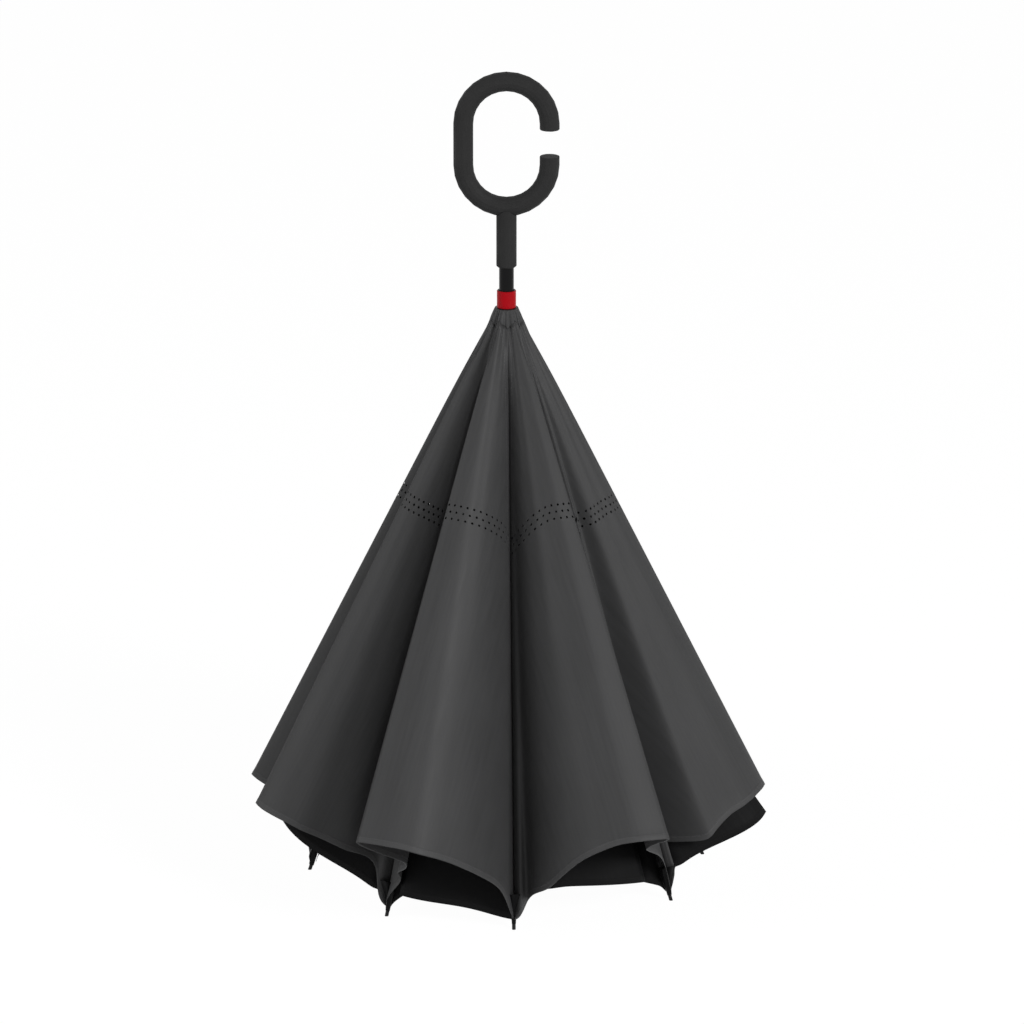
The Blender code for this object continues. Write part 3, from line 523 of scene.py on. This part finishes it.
def grid_piece(name, columns, rows, place, finish, flat, holes=(), seam=False):
    """A cloth over a grid: place and flat give a point and its spot on the cut for each column and row."""
    shape = bmesh.new()
    bmesh.ops.create_grid(shape, x_segments=columns, y_segments=rows, size=0.5)
    layer = shape.loops.layers.uv.new("cut")
    steps = {}
    for vertex in shape.verts:
        steps[vertex] = (round((vertex.co.x + 0.5) * columns), round((vertex.co.y + 0.5) * rows))
    for face in shape.faces:
        for loop in face.loops:
            column, row = steps[loop.vert]
            loop[layer].uv = flat(column, row)
    punched = []
    for face in shape.faces:
        corner = min(steps[vertex] for vertex in face.verts)
        if corner in holes:
            punched.append(face)
    for vertex, (column, row) in steps.items():
        vertex.co = place(column, row)
    if seam:
        bmesh.ops.remove_doubles(shape, verts=shape.verts, dist=0.00001)
    for face in punched:
        margin = (min(edge.calc_length() for edge in face.edges) - VENT_SIZE) / 2
        bmesh.ops.inset_individual(shape, faces=[face], thickness=max(margin, 0.0004))
    if punched:
        bmesh.ops.delete(shape, geom=punched, context="FACES")
    return new_piece(name, shape, finish)


def add_wall(piece, thickness):
    """Subdivides a sheet once, then gives it its thickness, half of it on each side."""
    fine = piece.modifiers.new("Subdivision", "SUBSURF")
    fine.levels = fine.render_levels = 1
    fine.boundary_smooth = "PRESERVE_CORNERS"
    wall = piece.modifiers.new("Solidify", "SOLIDIFY")
    wall.thickness = thickness
    wall.offset = 0.0


def apply_modifiers(piece):
    bpy.context.view_layer.update()
    graph = bpy.context.evaluated_depsgraph_get()
    made = bpy.data.meshes.new_from_object(piece.evaluated_get(graph), depsgraph=graph)
    piece.modifiers.clear()
    piece.data = made


def cut_angle(side, across):
    """The angle on the flat cut, from the panel's middle line towards its seam."""
    return HALF_ANGLE * (1 - across) * (2 * side - 1)


def cut_spot(side, down, across):
    """Where a point of half a panel lies on the flat cut, in metres from the panel's apex."""
    start = LINING_START / HEM_DISTANCE
    angle = cut_angle(side, across)
    length = PANEL_LENGTH * between(start, 1, down)
    return (length * math.tan(angle), length)


def lining_ridge(panel, down):
    """A panel's fold line, from the neck to the hem, as azimuth, reach and height."""
    turn, reach, height = LINING_RIDGES[panel]
    share = between(LINING_START / HEM_DISTANCE, 1, down)
    return (
        rib_azimuth(panel + turn),
        between(NECK_RADIUS, RIDGE_REACH * reach, share),
        between(RING_TOP, RIDGE_HEIGHT * height, share),
    )


def soft_folds(seed, down, across, depth):
    """Soft folds that run down the cloth and fade out at its seam and its ridge."""
    lines = noise.noise(Vector((across * 4.5, down * 0.9, seed * 7.3)))
    lines += 0.45 * noise.noise(Vector((across * 11.0, down * 1.6, seed * 3.1 + 50)))
    return depth * lines * 1.6 * math.sin(math.pi * across) ** 0.7 * (0.25 + 0.75 * down)


def hem_rise(across, lift, width, arch=0.0):
    """How far the hem has risen from the rib's tip to the ridge's corner, a share of the way across."""
    return across + (1 - across) * (lift * (1 - math.exp(-((across / width) ** 2))) + arch * across)


def fold_depth(panel, side, down, across):
    """How far the groove and the fold take half a panel inwards."""
    groove, fold = LINING_HANGS[panel][side][4:6]
    beside = min(max((across - GROOVE_START) / GROOVE_WIDTH, 0), 1)
    depth = groove * down * math.sin(math.pi * beside) ** 2
    depth += fold * math.sin(math.pi * across) ** 2
    return depth * down


def hung(rib, ridge, across, side, belly, power, depth):
    """A place on half a panel between its rib and its ridge, each an azimuth, reach and height."""
    if belly:
        reach = between(rib[1], ridge[1], math.sin(across * math.pi / 2) ** power)
        return outward(between(rib[0], ridge[0], across)) * (reach - depth)
    start, end = outward(rib[0]) * rib[1], outward(ridge[0]) * ridge[1]
    out = (end - start).cross(Vector((0, 0, 1))).normalized() * (1 - 2 * side)
    return start.lerp(end, across) - out * depth


def vent_slip(panel, side, down, across):
    """How much further down the cloth a row lies towards the ridge, most where the vents are."""
    return LINING_HANGS[panel][side][6] * across * 4 * down * (1 - down)


def neck_pleat(across, fade):
    """The gathers round the hub, which fade out down the panels."""
    return -PLEAT_DEPTH * math.sin(1.5 * math.pi * across) ** 2 * fade


def lining_point(panel, side, down, across, wrinkle):
    belly, lift, width, arch = LINING_HANGS[panel][side][:4]
    down += vent_slip(panel, side, down, across)
    rib = rib_place(panel + side, between(LINING_START, HEM_DISTANCE, down), LINING_STANDOFF)
    ridge = lining_ridge(panel, down)
    full = smooth(down / FULL_LIFT)
    rise = hem_rise(across, lift * full, width, arch * full)
    depth = fold_depth(panel, side, down, across) - soft_folds(panel * 2 + side, down, across, wrinkle)
    depth -= neck_pleat(across, math.exp(-((down / PLEAT_FADE) ** 2)))
    point = hung(rib, ridge, across, side, belly, LINING_SWELL_POWER, depth)
    return point + Vector((0, 0, between(rib[2], ridge[2], rise)))


def ease_columns(column, columns):
    """Columns lie closer together near the seam, where the cloth turns round the rib."""
    share = column / columns
    return share + 0.35 * share * (share - 1) * (1 - share) ** 0.5


def band_rows(cloth):
    """The rows of half a panel from neck to hem, as shares, and the numbers of the vents' rows."""
    step = cloth.vent_pitch / 2 / HEM_DISTANCE
    centre = cloth.vent_share
    band = [centre + step * (index - 3) for index in range(7)]
    above = [band[0] * (index / 14) ** 1.15 for index in range(14)]
    hem = cloth.hem / HEM_DISTANCE
    below_steps = 22
    below = [between(band[-1], 1 - hem, index / below_steps) for index in range(1, below_steps)]
    hem_rows = [1 - hem, 1 - hem * 0.92, 1 - hem * 0.4, 1.0]
    first = len(above)
    return above + band + below + hem_rows, (first, first + 2, first + 4)


def make_lining_half(panel, side):
    cloth = bpy.context.scene.umbrella_cloth
    columns = cloth.across
    rows, vent_rows = band_rows(cloth)
    shares = [ease_columns(column, columns) for column in range(columns + 1)]
    hem_start = 1 - cloth.hem / HEM_DISTANCE * 0.96

    def place(column, row):
        point = lining_point(panel, side, rows[row], shares[column], cloth.wrinkle)
        if rows[row] > hem_start:
            # The folded hem is two layers thick
            facing = between(rib_azimuth(panel + side), rib_azimuth(panel + 0.5), shares[column])
            point += outward(facing) * HEM_LAYER
        return point

    holes = set()
    for order, row in enumerate(vent_rows):
        for column in range(1 + order % 2, columns, 2):
            if shares[column] < 0.97:
                holes.add((column, row))
    piece = grid_piece(
        f"grey_panel_{half_name(panel, side)}",
        columns,
        len(rows) - 1,
        place,
        cloth_finish("lining"),
        lambda column, row: cut_spot(side, rows[row], shares[column]),
        holes,
    )
    add_wall(piece, cloth.thickness)
    apply_modifiers(piece)
    return piece


def fold_blend(piece, panel, side):
    """Works out the rib's line and the way across to the fold, then only bakes the half panel's place into
    its mesh.
    """
    rib = (panel + side) % RIB_COUNT
    start = rib_axis(rib, HEM_DISTANCE * 0.5, LINING_STANDOFF)
    along = (rib_axis(rib, HEM_DISTANCE) - rib_axis(rib, 0)).normalized()
    across = spot(lining_ridge(panel, 0.5)) - start
    across = (across - along * across.dot(along)).normalized()
    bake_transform(piece)


def neck_point(rib, down, turn):
    """A point on the gathered cuff: turn runs from the ridge on a rib's left to the one on its right."""
    panel, side = (rib, 0) if turn > 0 else ((rib - 1) % RIB_COUNT, 1)
    across = abs(turn)
    foot = lining_point(panel, side, 0, across, 0)
    azimuth = math.atan2(foot.x, -foot.y)
    top = outward(azimuth) * (RING_RADIUS + NECK_GAP) + Vector((0, 0, RING_TOP))
    pleat = neck_pleat(across, 0.5 * (1 - down) * smooth(down * 6))
    swell = NECK_SWELL * math.sin(math.pi * down) + pleat
    return top.lerp(foot, down) + outward(azimuth) * swell


class UMBRELLA_OT_frame_finish(bpy.types.Operator):
    """Finish the ribs, stretchers, hubs, wires and cap"""

    bl_idname = "umbrella.frame_finish"
    bl_label = "Frame finishes"

    def execute(self, context):
        numbers = range(1, RIB_COUNT + 1)
        rods = [f"rib_{number}" for number in numbers] + [f"stretcher_{number}" for number in numbers]
        finish_nodes(rods, rod_material("fibreglass", (0.02, 0.02, 0.022), 0.35, 700, 0.3))
        tips = [f"rib_tip_{number}" for number in numbers]
        moulded = ["top_notch", "canopy_washer", "top_cap", "runner_sleeve", "lining_ring"]
        finish_nodes(tips + moulded, moulded_material("black_nylon", (0.01, 0.01, 0.0105), 0.45, 0.15))
        wires = ["notch_wire", "runner_wire", "open_catch", "handle_stud", "handle_pin"]
        finish_nodes(wires, steel_material())
        return {"FINISHED"}


class UMBRELLA_OT_handle_finish(bpy.types.Operator):
    """Finish the C-shaped handle, the bare shaft and the red collar"""

    bl_idname = "umbrella.handle_finish"
    bl_label = "Handle finishes"

    def execute(self, context):
        handle = context.scene.umbrella_handle
        finish_nodes(["handle_loop", "handle_stem"], grip_material(handle.grip_colour, handle.grain))
        finish_nodes(["shaft_tube"], rod_material("black_lacquer", (0.004, 0.004, 0.0043), 0.25, 500, 0.12))
        finish_nodes(["runner_collar"], moulded_material("red_collar", handle.collar_colour, 0.45, 0.15))
        return {"FINISHED"}


class UMBRELLA_OT_lining(bpy.types.Operator):
    """Hang the grey lining, half a panel on each side of each rib"""

    bl_idname = "umbrella.lining"
    bl_label = "Grey lining"

    def execute(self, context):
        for panel in range(RIB_COUNT):
            for side in (0, 1):
                piece = make_lining_half(panel, side)
                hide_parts(f"lining_{half_name(panel, side)}")
                fold_blend(piece, panel, side)
        return {"FINISHED"}


class UMBRELLA_OT_neck(bpy.types.Operator):
    """Gather the lining round the runner's hub"""

    bl_idname = "umbrella.neck"
    bl_label = "Lining neck"

    def execute(self, context):
        cloth = context.scene.umbrella_cloth
        columns, rows = 24, 6
        for rib in range(RIB_COUNT):
            piece = grid_piece(
                f"lining_gather_{rib + 1}",
                columns,
                rows,
                lambda column, row: neck_point(rib, row / rows, 2 * column / columns - 1),
                cloth_finish("lining"),
                lambda column, row: (column / columns * 0.02, 0.05 + row / rows * 0.018),
            )
            add_wall(piece, cloth.thickness)
            apply_modifiers(piece)
            if rib == 0:
                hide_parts("lining_neck")
            end = rib_axis(rib, LINING_START * 0.9, LINING_STANDOFF)
            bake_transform(piece)
        return {"FINISHED"}


def canopy_point(panel, side, down, across):
    """A point on the black canopy's outer part, from its fold to its hem."""
    turn, reach, height = CANOPY_RIDGES[panel]
    rib = rib_place(panel + side, between(CANOPY_FOLD_DISTANCE, HEM_DISTANCE, down), CANOPY_STANDOFF)
    fold = rib_place(panel + side, CANOPY_FOLD_DISTANCE, CANOPY_STANDOFF)
    ridge = (
        rib_azimuth(panel + turn),
        between(fold[1], CANOPY_REACH * reach, down),
        between(fold[2], CANOPY_HEIGHT * height, down),
    )
    depth = fold_depth(panel, side, between(CANOPY_FOLD_DISTANCE / HEM_DISTANCE, 1, down), across)
    # The narrow side of an uneven fold has no room for a deep fold of its own
    depth = (depth + CANOPY_SOFT_FOLD * math.sin(math.pi * across)) * smooth(down * 5)
    depth *= min(NARROW_SIDE_ROOM * (1 - turn if side else turn), 1)
    belly = LINING_HANGS[panel][side][0] or down == 0
    point = hung(rib, ridge, across, side, belly, CANOPY_SWELL_POWER, depth)
    lift, width, arch = CANOPY_LIFTS[panel][side]
    rise = hem_rise(across, lift, width, arch)
    return point + Vector((0, 0, between(rib[2], ridge[2], rise)))


def canopy_cut(panel, side):
    """The length and the area of half a black panel's flat cut."""
    ends = ((0, 0), (1, 0), (1, 1), (0, 1))
    corners = [canopy_point(panel, side, down, across) for down, across in ends]
    straight = (corners[2] - corners[0]).cross(corners[3] - corners[1]).length / 2
    return (corners[1] - corners[0]).length, CANOPY_FULLNESS * straight


def petal_point(rib, down, turn):
    """A point on a black petal: from the canopy's fold in to the notch, a full pitch wide."""
    fold = rib_place(rib, CANOPY_FOLD_DISTANCE, CANOPY_STANDOFF)
    panel = rib if turn > 0 else rib - 1
    share = CANOPY_RIDGES[panel % RIB_COUNT][0]
    end = rib_azimuth(panel + share)
    azimuth = between(fold[0], end, abs(turn))
    top = fold[2]
    inner = HINGE_REACH + (top - NOTCH_Z) * math.tan(STRETCHER_TILT) + STRETCHER_GAP
    if down < PETAL_TURN_SHARE:
        angle = math.pi * down / PETAL_TURN_SHARE
        middle, half = (inner + fold[1]) / 2, (fold[1] - inner) / 2
        return spot((azimuth, middle + half * math.cos(angle), top + half * math.sin(angle)))
    share = (down - PETAL_TURN_SHARE) / (1 - PETAL_TURN_SHARE)
    height = between(top, CANOPY_FLOOR, share)
    cone = HINGE_REACH + (height - NOTCH_Z) * math.tan(STRETCHER_TILT) + STRETCHER_GAP
    cone = max(cone, PETAL_LEAST_RADIUS)
    pleat = PETAL_PLEAT_SHARE * (cone - PETAL_PLEAT_CORE) * math.sin(math.pi * 2 * turn) ** 2
    pleat *= smooth(share * 4)
    return spot((azimuth, cone - pleat, height))


def pocket_point(rib, down, turn):
    """A point on the small gathered pocket that holds a rib's tip."""
    distance = between(POCKET_START, POCKET_END, down)
    angle = math.tau * turn
    swell = POCKET_SWELL * (1 - down) ** POCKET_TAPER
    radius = POCKET_NECK_RADIUS + swell * (1 + 0.1 * math.cos(angle * POCKET_GATHERS))
    along = (rib_axis(rib, HEM_DISTANCE) - rib_axis(rib, 0)).normalized()
    azimuth = rib_azimuth(rib)
    aside = Vector((math.cos(azimuth), math.sin(azimuth), 0))
    out = aside.cross(along).normalized()
    middle = rib_axis(rib, distance) - out * swell
    return middle + aside * math.cos(angle) * radius * 0.8 + out * math.sin(angle) * radius


class UMBRELLA_OT_canopy(bpy.types.Operator):
    """Hang the black canopy inside the ribs, half a panel on each side of each rib"""

    bl_idname = "umbrella.canopy"
    bl_label = "Black canopy"

    def execute(self, context):
        cloth = context.scene.umbrella_cloth
        columns, rows = 16, 20
        top = CANOPY_FOLD_DISTANCE / HEM_DISTANCE
        for panel in range(RIB_COUNT):
            for side in (0, 1):
                piece = grid_piece(
                    f"black_panel_{half_name(panel, side)}",
                    columns,
                    rows,
                    lambda column, row: canopy_point(panel, side, row / rows, column / columns),
                    cloth_finish("canopy"),
                    lambda column, row: cut_spot(side, between(top, 1, row / rows), column / columns),
                )
                add_wall(piece, cloth.thickness)
                apply_modifiers(piece)
                if panel == 0 and side == 0:
                    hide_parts("outer_canopy")
                length, area = canopy_cut(panel, side)
                fold_blend(piece, panel, side)
        return {"FINISHED"}


class UMBRELLA_OT_petals(bpy.types.Operator):
    """Fold the black canopy's middle in over the stretchers, a petal on each"""

    bl_idname = "umbrella.petals"
    bl_label = "Black petals"

    def execute(self, context):
        cloth = context.scene.umbrella_cloth
        columns, rows = 24, 26
        for rib in range(RIB_COUNT):
            piece = grid_piece(
                f"black_petal_{rib + 1}",
                columns,
                rows,
                lambda column, row: petal_point(rib, row / rows, 2 * column / columns - 1),
                cloth_finish("canopy"),
                lambda column, row: ((column / columns - 0.5) * 0.09, 0.3 - 0.25 * row / rows),
            )
            add_wall(piece, cloth.thickness)
            apply_modifiers(piece)
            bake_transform(piece)
        return {"FINISHED"}


class UMBRELLA_OT_pockets(bpy.types.Operator):
    """Gather a small black pocket round the end of each rib"""

    bl_idname = "umbrella.pockets"
    bl_label = "Tip pockets"

    def execute(self, context):
        cloth = context.scene.umbrella_cloth
        columns, rows = 30, 8
        for rib in range(RIB_COUNT):
            piece = grid_piece(
                f"tip_pocket_{rib + 1}",
                columns,
                rows,
                lambda column, row: pocket_point(rib, row / rows, column / columns),
                cloth_finish("canopy"),
                lambda column, row: (column / columns * 0.02, 0.2 + row / rows * 0.028),
                seam=True,
            )
            add_wall(piece, cloth.thickness)
            apply_modifiers(piece)
            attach(piece, f"rib_{rib + 1}")
        return {"FINISHED"}


class UMBRELLA_OT_stage(bpy.types.Operator):
    """Set up the floor, the lamps and the camera"""

    bl_idname = "umbrella.stage"
    bl_label = "Stage"

    def execute(self, context):
        studio = context.scene.umbrella_studio
        make_floor(studio.floor_size)
        make_world(studio.sky)
        add_lamp("key", (3.4, -4.0, 3.0), LAMP_TARGET, 1.6, studio.key_power)
        add_lamp("fill", (-4.2, -1.6, 2.4), LAMP_TARGET, 2.4, studio.fill_power)
        camera = bpy.data.objects.new("camera", bpy.data.cameras.new("camera"))
        context.scene.collection.objects.link(camera)
        camera.location = CAMERA_PLACE
        camera.rotation_euler = (math.pi / 2 - CAMERA_TILT, 0, 0)
        camera.data.lens = CAMERA_LENS
        camera.data.clip_end = 60
        context.scene.camera = camera
        context.scene.view_settings.view_transform = "Standard"
        return {"FINISHED"}


def camera_sight(nodes):
    """1 where the camera, a reflection or a view through glass sees the surface, else 0."""
    path = nodes.add("ShaderNodeLightPath")
    seen = nodes.math("MAXIMUM", path.outputs["Is Camera Ray"], path.outputs["Is Glossy Ray"])
    return nodes.math("MAXIMUM", seen, path.outputs["Is Transmission Ray"])


def make_floor(size):
    shape = bmesh.new()
    bmesh.ops.create_grid(shape, x_segments=1, y_segments=1, size=size / 2)
    nodes = new_material("pale_floor")
    tone = nodes.noise(nodes.place(), 2.0, 2)
    nodes.finish(colour=nodes.mix(tone, (0.86, 0.86, 0.86, 1), (0.88, 0.88, 0.88, 1)), roughness=0.9)
    glow = nodes.add("ShaderNodeEmission", {"Color": (1, 1, 1, 1), "Strength": FLOOR_GLOW}).outputs[0]
    share = nodes.math("MULTIPLY", camera_sight(nodes), FLOOR_GLOW_SHARE)
    mixed = nodes.add("ShaderNodeMixShader", {0: share, 1: nodes.shader.outputs[0], 2: glow})
    nodes.set(nodes.output, "Surface", mixed.outputs[0])
    mesh = bpy.data.meshes.new("floor")
    shape.to_mesh(mesh)
    shape.free()
    mesh.materials.append(nodes.owner)
    floor = bpy.data.objects.new("floor", mesh)
    bpy.context.scene.collection.objects.link(floor)


def make_world(strength):
    world = bpy.data.worlds.new("studio")
    bpy.context.scene.world = world
    nodes = Nodes(world, "World Output")
    sky = nodes.add("ShaderNodeBackground", {"Color": (1, 1, 1, 1), "Strength": strength}).outputs[0]
    white = nodes.add("ShaderNodeBackground", {"Color": (1, 1, 1, 1), "Strength": 1.0}).outputs[0]
    mixed = nodes.add("ShaderNodeMixShader", {0: camera_sight(nodes), 1: sky, 2: white})
    nodes.set(nodes.output, "Surface", mixed.outputs[0])


def add_lamp(name, place, target, size, power):
    data = bpy.data.lights.new(name, "AREA")
    data.size = size
    data.energy = power
    lamp = bpy.data.objects.new(name, data)
    bpy.context.scene.collection.objects.link(lamp)
    lamp.location = place
    lamp.rotation_euler = (Vector(target) - Vector(place)).to_track_quat("-Z", "Y").to_euler()


OPERATORS = (
    UMBRELLA_OT_frame_finish,
    UMBRELLA_OT_handle_finish,
    UMBRELLA_OT_lining,
    UMBRELLA_OT_neck,
    UMBRELLA_OT_canopy,
    UMBRELLA_OT_petals,
    UMBRELLA_OT_pockets,
    UMBRELLA_OT_stage,
)


class UMBRELLA_PT_panel(bpy.types.Panel):
    """Lists the umbrella's sizes, colours and steps"""

    bl_label = "Inverted umbrella"
    bl_space_type = "VIEW_3D"
    bl_region_type = "UI"
    bl_category = "Umbrella"

    def draw(self, context):
        layout = self.layout
        stage = context.scene
        for group in (stage.umbrella_cloth, stage.umbrella_handle, stage.umbrella_studio):
            box = layout.box()
            for key in group.bl_rna.properties.keys():
                if key not in ("rna_type", "name"):
                    box.prop(group, key)
        for operator in OPERATORS:
            layout.operator(operator.bl_idname)


GROUPS = (UmbrellaCloth, UmbrellaHandle, UmbrellaStudio)


def register():
    for item in (*GROUPS, *OPERATORS, UMBRELLA_PT_panel):
        bpy.utils.register_class(item)
    bpy.types.Scene.umbrella_cloth = PointerProperty(type=UmbrellaCloth)
    bpy.types.Scene.umbrella_handle = PointerProperty(type=UmbrellaHandle)
    bpy.types.Scene.umbrella_studio = PointerProperty(type=UmbrellaStudio)


def unregister():
    del bpy.types.Scene.umbrella_cloth
    del bpy.types.Scene.umbrella_handle
    del bpy.types.Scene.umbrella_studio
    for item in reversed((*GROUPS, *OPERATORS, UMBRELLA_PT_panel)):
        bpy.utils.unregister_class(item)


def main():
    register()
    bpy.ops.umbrella.frame_finish()
    bpy.ops.umbrella.handle_finish()
    bpy.ops.umbrella.lining()
    bpy.ops.umbrella.neck()
    bpy.ops.umbrella.canopy()
    bpy.ops.umbrella.petals()
    bpy.ops.umbrella.pockets()
    bpy.ops.umbrella.stage()


if __name__ == "__main__":
    main()
